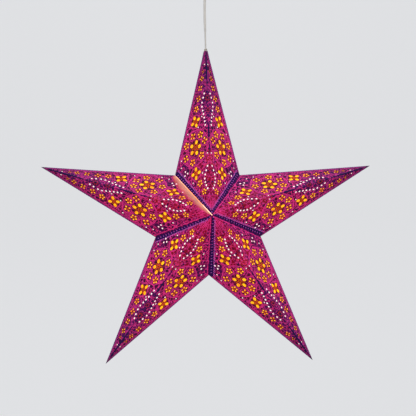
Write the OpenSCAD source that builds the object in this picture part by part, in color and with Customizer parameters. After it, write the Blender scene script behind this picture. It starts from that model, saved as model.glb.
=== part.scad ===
// Paper star lantern with five arms, hung on a flat twin flex from a ceiling cup.
// Each arm is one folded and punched card sheet, lined with coloured paper. The origin is on the ceiling,
// +Z is up and the star's front faces -Y.

/* [Star] */
// From the star's centre to the tip of an arm
star_r = 315; // [290:1:345]
// The same on the top arm, to where its folds would meet if its tip were whole
top_reach = 324.5; // [305:0.5:350]
// Length snipped off the top arm's tip for the flex to pass
tip_snip = 14; // [13:0.5:20]
// From the star's centre to the notch between two arms
notch_r = 100; // [90:1:115]
// From the star's centre to its front point, and to its back point
half_depth = 95; // [85:1:110]
// Thickness of the printed card
card_t = 0.35; // [0.25:0.05:0.5]
// Radius of the small hole left where the five arms meet, front and back
centre_gap = 1; // [1:0.1:2]

/* [Flaps and seams] */
// Width of a glue flap at the notch
flap_notch_w = 8; // [6:0.5:10]
// Width of a glue flap near the star's front or back point
flap_apex_w = 3; // [2:0.5:5]
// Length of valley left free at each end of a flap
flap_end = 8; // [5:0.5:12]
// Width of the glued tab along the back fold of each arm
tab_w = 8; // [6:0.5:10]
// From the tip of an arm to the start of that tab
tab_start = 40; // [36:1:60]
// Thickness of the glue between two layers of paper
glue_t = 0.03; // [0.02:0.01:0.08]
// Gap of the closing seam between the top arm and the left arm
seam_gap = 0.8; // [0.4:0.1:1.5]

/* [Punched pattern] */
// Petals of the large flower
flower_petals = 5; // [4:1:6]
// From that flower's middle to the middle of a petal
flower_r = 10.6; // [9:0.1:12]
// From the middle of a four-petal flower to the middle of a petal
small_flower_r = 8; // [6.5:0.1:9]
// Length of a petal
petal_l = 6.8; // [5:0.1:8]
// Width of a petal
petal_w = 5.2; // [4:0.1:6.5]
// Width of a round dot
dot_w = 3.6; // [2.5:0.1:4.5]

/* [Tissue] */
// Thickness of the coloured paper that lines the card
tissue_t = 0.24; // [0.24:0.02:0.3]
// Distance that the tissue keeps from flaps and open edges
tissue_margin = 1.5; // [1:0.5:4]
// From the tip of an arm to the start of its tissue
tissue_start = 30; // [26:1:50]

/* [Threads] */
// Thickness of the cotton thread
thread_d = 1; // [0.6:0.1:1.4]
// Width of a thread hole in the card
thread_hole_d = 2; // [1.8:0.1:3]
// From the valley to the thread holes of the closing seam
tie_r = 4; // [3.5:0.1:4.5]
// From the top of the snipped tip down to the holes of the tip thread, along the card
tip_hole_drop = 12; // [9:0.5:16]

/* [Flex] */
// Width of the flat twin flex
flex_w = 4.5; // [4:0.1:5]
// Thickness of the flat twin flex
flex_t = 2.7; // [2.2:0.1:3]
// Length of flex in view between the grip and the paper tip
flex_drop = 117.5; // [100:0.5:200]

/* [Lampholder] */
// Outer radius of the lampholder
holder_r = 14; // [13.5:0.1:18]
// Wall of the lampholder
holder_wall = 1.6; // [1.2:0.1:2]
// From the mouth of the lampholder to the joint with its cap
holder_skirt_h = 29; // [27:0.5:36]
// Height of the neck that the cap screws on
holder_neck_h = 8; // [6:0.5:12]
// Height of the cap of the lampholder, above that joint
holder_cap_h = 28; // [24:0.5:36]
// Height of the insert that carries the contacts
insert_h = 10; // [8:0.5:12]
// Wall of the brass screw shell
shell_wall = 0.4; // [0.3:0.05:0.8]
// Clearance between pieces of the lampholder that fit into each other
holder_fit = 0.2; // [0.1:0.05:0.3]

/* [Bulb] */
// Diameter of the globe of the bulb
globe_d = 45; // [40:1:50]
// Diameter of the screw cap of the bulb
bulb_cap_d = 13.9; // [13.5:0.1:14]
// Length of the screw cap of the bulb
bulb_cap_l = 20; // [18:0.5:22]
// From the middle of the globe to the start of the screw cap
bulb_neck = 32; // [30:0.5:38]

/* [Ceiling fitting] */
// Outer radius of the ceiling cup
cup_r = 45; // [42:1:60]
// Height of the ceiling cup
cup_h = 30; // [28:1:40]
// Wall of the ceiling cup
cup_wall = 1.8; // [1.2:0.1:2.5]
// Radius of the rounded edge of the ceiling cup
cup_round = 6; // [4:0.5:10]
// Width of the bracket
bracket_w = 16; // [14:0.5:22]
// Thickness of the bracket
bracket_t = 1.5; // [1:0.1:2]
// Depth of the bent ends of the bracket
bracket_leg = 13; // [12:0.5:18]
// Between the middles of the two ceiling screw slots
slot_spacing = 50; // [44:1:56]
// Width of a ceiling screw slot
slot_w = 4.4; // [4:0.1:5]
// Length of a ceiling screw slot from end to end
slot_l = 10; // [7:0.5:12]
// Diameter of the screws that hold the cup
cup_screw_d = 4; // [3:0.5:5]
// Outer radius of the flex grip
grip_r = 6.5; // [6.2:0.1:9]
// Length of the flex grip below the cup
grip_l = 12; // [9:0.5:16]
// Diameter of the threaded stem of the grip
grip_stem_d = 10; // [9:0.1:11]
// Width across the flats of the grip nut
grip_nut_w = 14; // [13:0.5:18]
// Height of the terminal block
block_h = 14.5; // [12:0.5:14.5]

/* [Hidden] */
$fn = 48;

// The star has five arms, numbered from the top arm towards the left one.
arms = 5;
step = 360 / arms;
front = -1;
back = 1;
// A face lies on the next side of its arm, towards the arm numbered one higher, or on the last side.
next_side = 0;
last_side = 1;

tip_z = -(cup_h + grip_l + flex_drop);
star_z = tip_z - (top_reach - tip_snip);

// Places of the punched flowers and dots on a face: shares of its length, from the tip, and of its width
flower_at = [0.582, 0.407];
small_flowers_at = [[0.429, 0.37], [0.736, 0.4]];
small_flower_turns = [-105, -90];
dots_at = [
  [0.298, 0.09], [0.346, 0.167], [0.39, 0.123], [0.447, 0.078],
  [0.766, 0.134], [0.702, 0.647], [0.727, 0.663], [0.705, 0.72]
];
petal_sides = 6;
dot_sides = 5;

// Places of the closing ties, as shares of the back valley from the notch
ties_at = [0.2, 0.5];
tie_knot_r = 1.4;
tie_end_l = 9;

// The tissue ends short of the star's middle, where its valley edges would meet the ridge
tissue_centre = 2 * (tissue_margin + tie_r + thread_hole_d / 2);

// The route of the flex, from the terminal block down to the lampholder
flex_route = [
  [0, 0, -16], [0, 0, -44], [-0.6, 0, -70], [-0.8, 0, -100], [-0.3, 0, -130], [0, 0, -156],
  [0, 0, -180], [0.8, 0.3, -230], [1, 0.5, -280], [0.4, 0.2, -330], [0, 0, -364], [0, 0, -384],
  [0, 0, -405]
];
// The turn of the flat flex about its own length, in degrees, by height
flex_turn = [[-400, 0], [-370, 0], [-260, 90], [-130, 90], [-106, 0], [-16, 0]];
flex_ring_gap = 8;

// Planes are [outward normal, distance from the star's centre along it].
function unit(v) = v / norm(v);
function inward(plane, t) = [plane[0], plane[1] - t];
function meet(p, q, r) =
  (p[1] * cross(q[0], r[0]) + q[1] * cross(r[0], p[0]) + r[1] * cross(p[0], q[0]))
  / (p[0] * cross(q[0], r[0]));
function plane_through(a, b, c, inside) =
  let (n = unit(cross(b - a, c - a)))
  n * inside < n * a ? [n, n * a] : [-n, -n * a];

// The corners and planes of the star, about its centre. An arm is drawn upright, as if it were the
// top one, and turned to its place afterwards: $drawn is the arm that is being drawn.
$drawn = 0;
function arm_angle(k) = 90 + step * (k - $drawn);
function notch_angle(k) = arm_angle(k) + step / 2;
function ray(angle) = [cos(angle), 0, sin(angle)];
function across(angle) = [-sin(angle), 0, cos(angle)];
function reach(k) = k % arms == 0 ? top_reach : star_r;
function tip(k) = reach(k) * ray(arm_angle(k));
function notch(k) = notch_r * ray(notch_angle(k));
function apex(side) = [0, side * half_depth, 0];
function beside(k, hand) = hand == next_side ? notch(k) : notch(k - 1);
function face(k, hand, side) = plane_through(tip(k), apex(side), beside(k, hand), tip(k) / 3);
function ridge_plane(k) = [across(arm_angle(k)), 0];
middle_plane = [[0, 1, 0], 0];
function depth_plane(y) = [[0, 1, 0], y];
function reach_plane(k, r) = [ray(arm_angle(k)), r];
function centre_cut(k, hand, r) =
  [ray(arm_angle(k) + (hand == next_side ? 1 : -1) * step / 4), r];

// Where a sheet bends into its glue flap, under the next arm's card
function bend(k, side) =
  let (mine = face(k, next_side, side), other = face(k + 1, last_side, side))
  let (under = inward(other, card_t + glue_t))
  plane_through(
    meet(mine, under, middle_plane),
    meet(mine, under, depth_plane(side * half_depth / 2)),
    meet(inward(mine, card_t), inward(under, card_t), middle_plane),
    [0, 0, 0]
  );
function seam_plane(towards) = [across(notch_angle(0)), towards * seam_gap / 2];
function valley_cut(k, hand, side) =
  k == 0 && hand == next_side ? seam_plane(-1)
  : k == 1 && hand == last_side ? seam_plane(1)
  : hand == next_side ? bend(k, side)
  : inward(face(k - 1, next_side, side), -glue_t);

// A plane square to a face through the points p and q of it, given along and away from a line a to b
function edge_plane(plane, a, b, away, p, q) =
  let (ex = unit(b - a), ey = unit((away - a) - ((away - a) * ex) * ex))
  let (p3 = a + p[0] * ex + p[1] * ey, q3 = a + q[0] * ex + q[1] * ey)
  let (n = unit(cross(q3 - p3, plane[0])))
  [n, n * p3];

// A panel is [plane, depth under it, corners], and each corner is the pair of planes that trim it.
function reversed(list) = [for (i = [len(list) - 1 : -1 : 0]) list[i]];
function corners(panel, t) = [for (c = panel[2]) meet(inward(panel[0], panel[1] + t), c[0], c[1])];
function turns_left(panel) =
  let (c = corners(panel, 0))
  cross(c[1] - c[0], c[2] - c[0]) * panel[0][0] > 0;
function loop(panel, t) = turns_left(panel) ? reversed(corners(panel, t)) : corners(panel, t);
function all_cuts(cuts) = [for (i = [0 : len(cuts) - 1]) [cuts[i], cuts[(i + 1) % len(cuts)]]];

// One sheet of a thickness, folded along the edges that its panels share
module folded(panels, thickness) {
  outer = [for (p = panels) each loop(p, 0)];
  inner = [for (p = panels) each loop(p, thickness)];
  n = len(outer);
  merged = [
    for (i = [0 : n - 1])
      [for (j = [0 : i]) if (norm(outer[j] - outer[i]) + norm(inner[j] - inner[i]) < 0.0001) j][0]
  ];
  counts = [for (p = panels) len(p[2])];
  starts = [for (i = 0, sum = 0; i < len(counts); sum = sum + counts[i], i = i + 1) sum];
  loops = [for (i = [0 : len(counts) - 1]) [for (j = [0 : counts[i] - 1]) merged[starts[i] + j]]];
  edges = [for (l = loops) for (i = [0 : len(l) - 1]) [l[i], l[(i + 1) % len(l)]]];
  rim = [for (e = edges) if (len([for (f = edges) if (f == [e[1], e[0]]) 1]) == 0) e];
  polyhedron(
    concat(outer, inner),
    concat(
      loops,
      [for (l = loops) [for (i = reversed(l)) i + n]],
      [for (e = rim) [e[1], e[0], e[0] + n, e[1] + n]]
    )
  );
}

// The outline of a glue flap along its valley, and the planes that trim its three free sides
function flap_trims(k, side) =
  let (folded_back = k == 0)
  let (over = folded_back ? face(0, next_side, side) : face(k + 1, last_side, side))
  let (away = folded_back ? tip(0) : tip(k + 1))
  let (valley = norm(apex(side) - notch(k)))
  let (outline = [
    [valley - flap_end, 0], [valley - flap_end - flap_apex_w, flap_apex_w],
    [flap_end / 2 + flap_notch_w / 2, flap_notch_w], [flap_end / 2, 0]
  ])
  [
    for (i = [0 : 2])
      edge_plane(over, notch(k), apex(side), away, outline[i], outline[i + 1])
  ];

// One wall of an arm's sheet, from the ridge to the side fold and the valley
function wall_panel(k, hand, side) =
  let (snip = reach_plane(k, top_reach - tip_snip))
  let (ridge = ridge_plane(k), valley = valley_cut(k, hand, side))
  let (centre = centre_cut(k, hand, centre_gap))
  let (trims = flap_trims(k, side))
  let (has_flap = hand == next_side && k > 0)
  [
    face(k, hand, side), 0,
    concat(
      k == 0 ? [[ridge, snip], [snip, middle_plane]] : [[ridge, middle_plane]],
      [[middle_plane, valley]],
      has_flap ? [[valley, trims[2]], [valley, trims[0]]] : [],
      [[valley, centre], [centre, ridge]]
    )
  ];

// The glue flap of a sheet, which lies under the next arm's card
function flap_panel(k, side) =
  [face(k + 1, last_side, side), card_t + glue_t, all_cuts(concat([bend(k, side)], flap_trims(k, side)))];

// On the top arm the flap is folded back under its own card, for the closing seam.
module folded_back_flap(side) {
  fold_in = 0.3;
  start = [across(notch_angle(0)), -seam_gap / 2 - fold_in];
  folded(
    [[face(0, next_side, side), card_t / 2, all_cuts(concat([start], flap_trims(0, side)))]],
    card_t * 1.5
  );
}

// The tab that closes a sheet into an arm, glued under the back ridge
module ridge_tab(k) {
  over = face(k, last_side, back);
  ridge = norm(apex(back) - tip(k));
  tab_end = 1.5 * (tab_w + flap_notch_w);
  start_v = 4 * card_t;
  outline = [
    [tab_start, start_v], [tab_start + tab_w, tab_w],
    [ridge - tab_end - tab_w, tab_w], [ridge - tab_end, start_v]
  ];
  trims = [
    for (i = [0 : 3])
      edge_plane(over, tip(k), apex(back), notch(k - 1), outline[i], outline[(i + 1) % 4])
  ];
  folded([[over, card_t / 2, all_cuts(trims)]], card_t * 1.5);
}

// Puts what is drawn flat on a face: X along the ridge from the tip, Y towards the notch
module on_face(k, hand, side) {
  n_out = face(k, hand, side)[0];
  ex = unit(apex(side) - tip(k));
  across_face = beside(k, hand) - tip(k);
  ey = unit(across_face - (across_face * ex) * ex);
  ez = cross(ex, ey);
  o = tip(k);
  multmatrix([
    [ex[0], ey[0], ez[0], o[0]],
    [ex[1], ey[1], ez[1], o[1]],
    [ex[2], ey[2], ez[2], o[2]],
    [0, 0, 0, 1]
  ]) children();
}

function face_length(k, side) = norm(apex(side) - tip(k));
function face_width(k, hand, side) =
  norm(cross(apex(side) - tip(k), beside(k, hand) - tip(k))) / face_length(k, side);

module petal() {
  polygon([
    for (i = [0 : petal_sides - 1])
      [petal_l / 2 * cos(360 * i / petal_sides), petal_w / 2 * sin(360 * i / petal_sides)]
  ]);
}

module flower(petals, r, first) {
  for (i = [0 : petals - 1])
    rotate(first + 360 * i / petals) translate([r, 0]) petal();
}

// The punched holes of one face
module punched(length, width) {
  translate([flower_at[0] * length, flower_at[1] * width]) flower(flower_petals, flower_r, -90);
  for (i = [0 : len(small_flowers_at) - 1])
    translate([small_flowers_at[i][0] * length, small_flowers_at[i][1] * width])
      flower(4, small_flower_r, small_flower_turns[i]);
  for (at = dots_at)
    translate([at[0] * length, at[1] * width]) circle(d = dot_w, $fn = dot_sides);
}

module punches(k, hand, side) {
  on_face(k, hand, side)
    linear_extrude(height = 8 * card_t, center = true)
      punched(face_length(k, side), face_width(k, hand, side));
}

// A closing tie's place: its middle on the back valley, and the frame of its ring
module at_tie(share) {
  valley = unit(apex(back) - notch(0));
  outward = unit(face(0, next_side, back)[0] + face(1, last_side, back)[0]);
  sideways = cross(valley, outward);
  at = notch(0) + share * (apex(back) - notch(0));
  multmatrix([
    [outward[0], sideways[0], valley[0], at[0]],
    [outward[1], sideways[1], valley[1], at[1]],
    [outward[2], sideways[2], valley[2], at[2]],
    [0, 0, 0, 1]
  ]) children();
}

// The holes for the closing ties are a slotted ring about the valley, wider than the thread.
module tie_holes() {
  for (share = ties_at)
    at_tie(share)
      rotate_extrude() translate([tie_r, 0]) circle(d = thread_hole_d);
}

function tip_hole_u() = tip_snip / cos(atan(half_depth / top_reach)) + tip_hole_drop;
function tip_hole_v() = tip_hole_u() * face_width(0, next_side, back) / face_length(0, back) * 1.2;

module tip_holes() {
  for (hand = [next_side, last_side])
    on_face(0, hand, back)
      translate([tip_hole_u(), tip_hole_v(), 0])
        cylinder(d = thread_hole_d, h = 8 * card_t, center = true);
}

module in_place(k) {
  translate([0, 0, star_z]) rotate([0, -step * k, 0]) children();
}

// One arm: a single sheet with four walls, its glue flaps and its tab
module arm_sheet(k) {
  $drawn = k;
  in_place(k)
    difference() {
      union() {
        folded(
          concat(
            [for (hand = [next_side, last_side]) for (side = [front, back]) wall_panel(k, hand, side)],
            [if (k > 0) for (side = [front, back]) flap_panel(k, side)]
          ),
          card_t
        );
        if (k == 0) for (side = [front, back]) folded_back_flap(side);
        ridge_tab(k);
      }
      for (hand = [next_side, last_side]) for (side = [front, back]) punches(k, hand, side);
      if (k <= 1) tie_holes();
      if (k == 0) tip_holes();
    }
}

// The tissue lining of one wall, clear of the flaps and the tab
function tissue_panel(k, hand, side) =
  let (plane = face(k, hand, side), n = beside(k, hand))
  let (valley = norm(apex(side) - n), ridge = norm(apex(side) - tip(k)))
  let (on_flap = hand == last_side ? k != 1 : k == 0)
  let (on_seam = hand == last_side ? k == 1 : k == 0)
  let (tied = on_seam ? tie_r + thread_hole_d / 2 : 0)
  let (notch_w = tissue_margin + max(tied, on_flap ? flap_notch_w : 0))
  let (apex_w = tissue_margin + max(tied, on_flap ? flap_apex_w : 0))
  let (valley_trim = edge_plane(plane, n, apex(side), tip(k), [0, notch_w], [valley, apex_w]))
  let (tab_v = tab_w + tissue_margin)
  let (tab_trim = edge_plane(plane, tip(k), apex(side), n, [0, tab_v], [ridge, tab_v]))
  let (start = reach_plane(k, reach(k) - tissue_start))
  let (centre = centre_cut(k, hand, tissue_centre))
  [
    plane, card_t + glue_t,
    all_cuts(
      hand == last_side && side == back
      ? [tab_trim, start, middle_plane, valley_trim]
      : [ridge_plane(k), start, middle_plane, valley_trim, centre]
    )
  ];

module tissue_sheet(k) {
  $drawn = k;
  in_place(k)
    folded(
      [for (hand = [next_side, last_side]) for (side = [front, back]) tissue_panel(k, hand, side)],
      tissue_t
    );
}

module arm_top() { color("mediumvioletred") arm_sheet(0); }
module arm_left() { color("mediumvioletred") arm_sheet(1); }
module arm_lower_left() { color("mediumvioletred") arm_sheet(2); }
module arm_lower_right() { color("mediumvioletred") arm_sheet(3); }
module arm_right() { color("mediumvioletred") arm_sheet(4); }

module tissue_top() { color("gold") tissue_sheet(0); }
module tissue_left() { color("gold") tissue_sheet(1); }
module tissue_lower_left() { color("gold") tissue_sheet(2); }
module tissue_lower_right() { color("gold") tissue_sheet(3); }
module tissue_right() { color("gold") tissue_sheet(4); }

// A loop of thread through both edges of the closing seam, with its knot and two short ends
module closing_tie() {
  knot_x = tie_r;
  rotate_extrude() translate([tie_r, 0]) circle(d = thread_d, $fn = 16);
  translate([knot_x, 0, 0]) sphere(r = tie_knot_r, $fn = 24);
  for (turn = [-35, 35])
    translate([knot_x, 0, 0]) rotate([0, 0, turn]) rotate([0, 90, 0])
      cylinder(d = thread_d, h = tie_end_l, $fn = 16);
}

module closing_ties() {
  color("ivory")
    translate([0, 0, star_z])
      for (share = ties_at) at_tie(share) closing_tie();
}

// Curves through the points of a route
function spline(a, b, c, d, t) =
  0.5 * (2 * b + (c - a) * t + (2 * a - 5 * b + 4 * c - d) * t * t + (3 * b - a - 3 * c + d) * t * t * t);
function route_point(route, i) = route[max(0, min(len(route) - 1, i))];
function smooth(route, gap) = [
  for (i = [0 : len(route) - 2])
    let (count = max(1, round(norm(route[i + 1] - route[i]) / gap)))
      for (j = [0 : count - (i == len(route) - 2 ? 0 : 1)])
        spline(
          route_point(route, i - 1), route[i], route[i + 1], route_point(route, i + 2), j / count
        )
];
function heading(path, i) =
  unit(path[min(len(path) - 1, i + 1)] - path[max(0, i - 1)]);

// A closed tube from rings of as many points each
module skin(rings) {
  n = len(rings[0]);
  last = len(rings) - 1;
  polyhedron(
    [for (ring = rings) each ring],
    concat(
      [[for (i = [n - 1 : -1 : 0]) i]],
      [for (r = [0 : last - 1]) for (i = [0 : n - 1])
        each [
          [r * n + i, r * n + (i + 1) % n, (r + 1) * n + (i + 1) % n],
          [r * n + i, (r + 1) * n + (i + 1) % n, (r + 1) * n + i]
        ]],
      [[for (i = [0 : n - 1]) last * n + i]]
    )
  );
}

// The flat flex has eight sides, and turns about its length as it hangs.
function flex_section() =
  let (w = flex_w / 2, t = flex_t / 2, cut = t * 0.59)
  [
    [w, cut - t], [w, t - cut], [w - cut, t], [cut - w, t],
    [-w, t - cut], [-w, cut - t], [cut - w, -t], [w - cut, -t]
  ];

module flex() {
  path = smooth(flex_route, flex_ring_gap);
  color("gainsboro")
    skin([
      for (p = path)
        let (a = lookup(p[2], flex_turn))
          [for (q = flex_section()) p + [q[0] * cos(a) + q[1] * sin(a), q[0] * sin(a) - q[1] * cos(a), 0]]
    ]);
}

// A round thread along a path
module thread(path, sides) {
  skin([
    for (i = [0 : len(path) - 1])
      let (
        w = heading(path, i),
        u = unit(cross(abs(w[2]) < 0.9 ? [0, 0, 1] : [1, 0, 0], w)),
        v = cross(w, u)
      )
        [for (j = [0 : sides - 1])
          path[i] + thread_d / 2 * (cos(360 * j / sides) * u + sin(360 * j / sides) * v)]
  ]);
}

// A point of a back face of the top arm, in the lantern's frame
function on_tip(hand, u, v, out) =
  let (
    ex = unit(apex(back) - tip(0)),
    w = beside(0, hand) - tip(0),
    ey = unit(w - (w * ex) * ex)
  )
  [0, 0, star_z] + tip(0) + u * ex + v * ey + out * face(0, hand, back)[0];

// The thread that ties the snipped tip to the flex: up from one hole, round the flex, and down
module tip_tie() {
  turns = 1.75;
  steps = 21;
  wrap_x = flex_t / 2 + thread_d * 0.95;
  wrap_y = flex_w / 2 + thread_d * 0.95;
  pitch = thread_d * 1.3;
  start_z = tip_z + thread_d * 1.5;
  wrap = [
    for (i = [0 : steps])
      let (a = 135 + turns * 360 * i / steps)
        [wrap_x * cos(a), wrap_y * sin(a), start_z + pitch * turns * i / steps]
  ];
  end_z = start_z + pitch * turns;
  out = thread_d;
  rim_u = tip_hole_u() - tip_hole_drop;
  up = [
    on_tip(next_side, tip_hole_u(), tip_hole_v(), -3 * thread_d),
    on_tip(next_side, tip_hole_u(), tip_hole_v(), out * 0.4),
    on_tip(next_side, tip_hole_u() - 1.5, tip_hole_v() * 0.95, out),
    on_tip(next_side, rim_u + 1, tip_hole_v() * 0.6, out)
  ];
  down = [
    [wrap_x * 0.71 + 1.2 * thread_d, wrap_y * 0.71 + 1.2 * thread_d, end_z - pitch],
    on_tip(last_side, rim_u + 1, tip_hole_v() * 0.6, out),
    on_tip(last_side, tip_hole_u() - 1.5, tip_hole_v() * 0.95, out),
    on_tip(last_side, tip_hole_u(), tip_hole_v(), out * 0.4),
    on_tip(last_side, tip_hole_u(), tip_hole_v(), -3 * thread_d)
  ];
  color("ivory") thread(concat(up, wrap, down), 6);
}

// Heights of the lampholder, from the bulb's middle at the star's centre upwards
mouth_overlap = 3;
mouth_z = star_z + bulb_neck - mouth_overlap;
joint_z = mouth_z + holder_skirt_h;
neck_top_z = joint_z + holder_neck_h;
cap_top_z = joint_z + holder_cap_h;
bulb_cap_top_z = star_z + bulb_neck + bulb_cap_l;
bulb_tip_h = 2.5;
bulb_button_h = 1.5;
bulb_contact_z = bulb_cap_top_z + bulb_tip_h + bulb_button_h;
tip_clear = 0.5;
ledge_z = bulb_cap_top_z + bulb_tip_h + tip_clear;
neck_r = holder_r - holder_wall + holder_fit;
insert_r = neck_r - holder_wall - holder_fit;
shell_r = bulb_cap_d / 2 + holder_fit + shell_wall;
flex_clear = 0.4;
flex_hole_r = flex_w / 2 + flex_clear;
collar_wall = 3.5;
collar_r = flex_hole_r + collar_wall;
mouth_bore_h = 4;
shell_start = 3.5;
grooves = 12;
groove_r = 1.2;
screw_fit = 0.1;
collar_h = 8;
contact_r = 3;
contact_t = 1.5;
contact_screw_r = 1.5;
contact_screw_head = 2;
contact_screw_x = 6.5;
contact_screw_l = 4;
clamp_screw_r = 1.5;

// The bulb is sealed: a golf-ball globe, its neck and its screw cap, with the button contact on top.
module bulb() {
  r = globe_d / 2;
  cap_r = bulb_cap_d / 2;
  button_r = 2.4;
  meet_a = 48;
  color("lightyellow")
    translate([0, 0, star_z])
      rotate_extrude() {
        intersection() {
          circle(r = r);
          translate([0, -r]) square([r, r + r * sin(meet_a)]);
        }
        polygon([
          [0, 0], [r * cos(meet_a), r * sin(meet_a)],
          [cap_r + 1.6, bulb_neck - 5], [cap_r, bulb_neck],
          [cap_r, bulb_neck + bulb_cap_l], [cap_r * 0.6, bulb_neck + bulb_cap_l + bulb_tip_h],
          [button_r, bulb_neck + bulb_cap_l + bulb_tip_h], [button_r, bulb_contact_z - star_z],
          [0, bulb_contact_z - star_z]
        ]);
      }
}

// The lower shell of the lampholder, with the ledge that carries the insert
module holder_body() {
  color("white")
    difference() {
      union() {
        translate([0, 0, mouth_z]) cylinder(r = holder_r, h = holder_skirt_h);
        translate([0, 0, mouth_z]) cylinder(r = neck_r - holder_fit, h = holder_skirt_h + holder_neck_h);
      }
      translate([0, 0, mouth_z - 1])
        cylinder(r = insert_r - holder_wall, h = holder_skirt_h + holder_neck_h + 2);
      translate([0, 0, ledge_z]) cylinder(r = insert_r + holder_fit, h = holder_skirt_h);
      translate([0, 0, mouth_z - 1]) cylinder(r = insert_r, h = mouth_bore_h + 1);
      // Grooves round the skirt, for the fingers
      for (i = [0 : grooves - 1])
        rotate(360 * i / grooves) translate([holder_r + groove_r / 2, 0, mouth_z + mouth_bore_h])
          cylinder(r = groove_r, h = holder_skirt_h / 2, $fn = 16);
    }
}

// The cap: a domed cover with a collar that clamps the flex
module holder_cap() {
  dome_h = holder_cap_h - collar_h;
  color("white")
    difference() {
      rotate_extrude()
        difference() {
          union() {
            translate([0, joint_z]) square([holder_r, dome_h * 0.5]);
            translate([0, joint_z + dome_h * 0.5]) intersection() {
              circle(r = holder_r);
              square([holder_r, dome_h * 0.5]);
            }
            translate([0, joint_z]) square([collar_r, holder_cap_h]);
          }
          translate([0, joint_z - 1]) square([neck_r, holder_neck_h + 1 + holder_fit]);
          translate([0, joint_z]) square([insert_r, dome_h * 0.75]);
          translate([0, joint_z]) square([flex_hole_r, holder_cap_h + 1]);
        }
      translate([0, 0, cap_top_z - collar_h / 2]) rotate([90, 0, 0])
        cylinder(r = clamp_screw_r + screw_fit, h = collar_r + 1, $fn = 24);
    }
}

// The insert holds the screw shell, the contacts and their screws.
module holder_insert() {
  color("ivory")
    translate([0, 0, ledge_z])
      difference() {
        cylinder(r = insert_r, h = insert_h);
        translate([0, 0, -1])
          cylinder(r = contact_r + holder_fit, h = 1 + bulb_contact_z + contact_t - ledge_z);
        for (s = [-1, 1]) translate([s * contact_screw_x, 0, insert_h - contact_screw_l - 1])
          cylinder(r = contact_screw_r + screw_fit, h = contact_screw_l + 2, $fn = 24);
      }
}

module screw_shell() {
  color("gold")
    translate([0, 0, mouth_z + shell_start])
      difference() {
        cylinder(r = shell_r, h = ledge_z - mouth_z - shell_start);
        translate([0, 0, -1]) cylinder(r = shell_r - shell_wall, h = ledge_z - mouth_z);
      }
}

module centre_contact() {
  color("gold") translate([0, 0, bulb_contact_z]) cylinder(r = contact_r, h = contact_t);
}

module contact_screws() {
  color("gold")
    for (s = [-1, 1])
      translate([s * contact_screw_x, 0, ledge_z + insert_h]) {
        translate([0, 0, -contact_screw_l])
          cylinder(r = contact_screw_r, h = contact_screw_l + contact_screw_head, $fn = 24);
        cylinder(r = contact_screw_r + 1, h = contact_screw_head, $fn = 24);
      }
}

// The screw in the collar presses on the flat of the flex.
module flex_clamp_screw() {
  color("white")
    translate([0, -flex_t / 2, cap_top_z - collar_h / 2]) rotate([90, 0, 0])
      cylinder(r = clamp_screw_r, h = collar_r - flex_t / 2, $fn = 24);
}

// The outline of the cup's half section, drawn down from the ceiling
module cup_profile(r, h, round_r) {
  translate([0, -h]) square([r - round_r, h]);
  translate([0, round_r - h]) square([r, h - round_r]);
  translate([r - round_r, round_r - h]) circle(r = round_r);
}

stem_r = grip_stem_d / 2;
screw_z = -bracket_leg * 0.62;
screw_clear = 0.2;
cup_screw_head_t = 2.2;
cup_screw_l = cup_wall + bracket_t + 3;
bracket_fit = 0.1;

module ceiling_cup() {
  color("white")
    difference() {
      rotate_extrude() difference() {
        intersection() {
          cup_profile(cup_r, cup_h, cup_round);
          translate([0, -cup_h]) square([cup_r, cup_h]);
        }
        cup_profile(cup_r - cup_wall, cup_h - cup_wall, cup_round - cup_wall);
        translate([0, -1]) square([cup_r - cup_wall, 2]);
      }
      translate([0, 0, -cup_h - 1]) cylinder(r = stem_r + screw_clear, h = cup_wall + 2);
      for (s = [-1, 1]) translate([s * cup_r, 0, screw_z]) rotate([0, 90, 0])
        cylinder(r = cup_screw_d / 2 + screw_clear, h = 4 * cup_wall, center = true);
    }
}

// The bracket: a strip with bent ends, slotted for the ceiling screws
bracket_x = sqrt(pow(cup_r - cup_wall, 2) - pow(bracket_w / 2, 2)) - bracket_fit;
module ceiling_bracket() {
  bend_r = 2 * bracket_t;
  straight = 2 * (bracket_x - bend_r);
  color("silver")
    difference() {
      translate([0, bracket_w / 2, 0]) rotate([90, 0, 0]) linear_extrude(height = bracket_w)
        difference() {
          intersection() {
            union() {
              translate([bend_r - bracket_x, -bend_r]) circle(r = bend_r);
              translate([bracket_x - bend_r, -bend_r]) circle(r = bend_r);
              translate([-straight / 2, -bracket_leg]) square([straight, bracket_leg]);
              translate([-bracket_x, -bracket_leg]) square([2 * bracket_x, bracket_leg - bend_r]);
            }
            translate([-bracket_x, -bracket_leg]) square([2 * bracket_x, bracket_leg]);
          }
          translate([bracket_t - bracket_x, -bracket_leg - 1])
            square([2 * (bracket_x - bracket_t), bracket_leg - bend_r + 1]);
          translate([-straight / 2, -bracket_leg - 1])
            square([straight, bracket_leg - bracket_t + 1]);
          for (s = [-1, 1]) translate([s * (bracket_x - bend_r), -bend_r]) circle(r = bend_r - bracket_t);
        }
      for (s = [-1, 1]) translate([s * slot_spacing / 2, 0, 0]) {
        for (e = [-1, 1]) translate([e * (slot_l - slot_w) / 2, 0, 0])
          cylinder(d = slot_w, h = 4 * bracket_t, center = true);
        cube([slot_l - slot_w, slot_w, 4 * bracket_t], center = true);
      }
      for (s = [-1, 1]) translate([s * bracket_x, 0, screw_z]) rotate([0, 90, 0])
        cylinder(d = cup_screw_d, h = 4 * bracket_t, center = true);
    }
}

// Two screws from the sides, through the cup and into the bracket's bent ends
module cup_screws() {
  head_d = cup_screw_d + 3;
  slot = [0.9, head_d + 1, 1.8];
  color("silver")
    for (s = [-1, 1]) translate([s * cup_r, 0, screw_z]) rotate([0, s * 90, 0]) {
      translate([0, 0, -cup_screw_l])
        cylinder(d = cup_screw_d - screw_fit, h = cup_screw_l + cup_screw_head_t);
      difference() {
        cylinder(d = head_d, h = cup_screw_head_t);
        translate([0, 0, cup_screw_head_t]) cube(slot, center = true);
      }
    }
}

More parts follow.
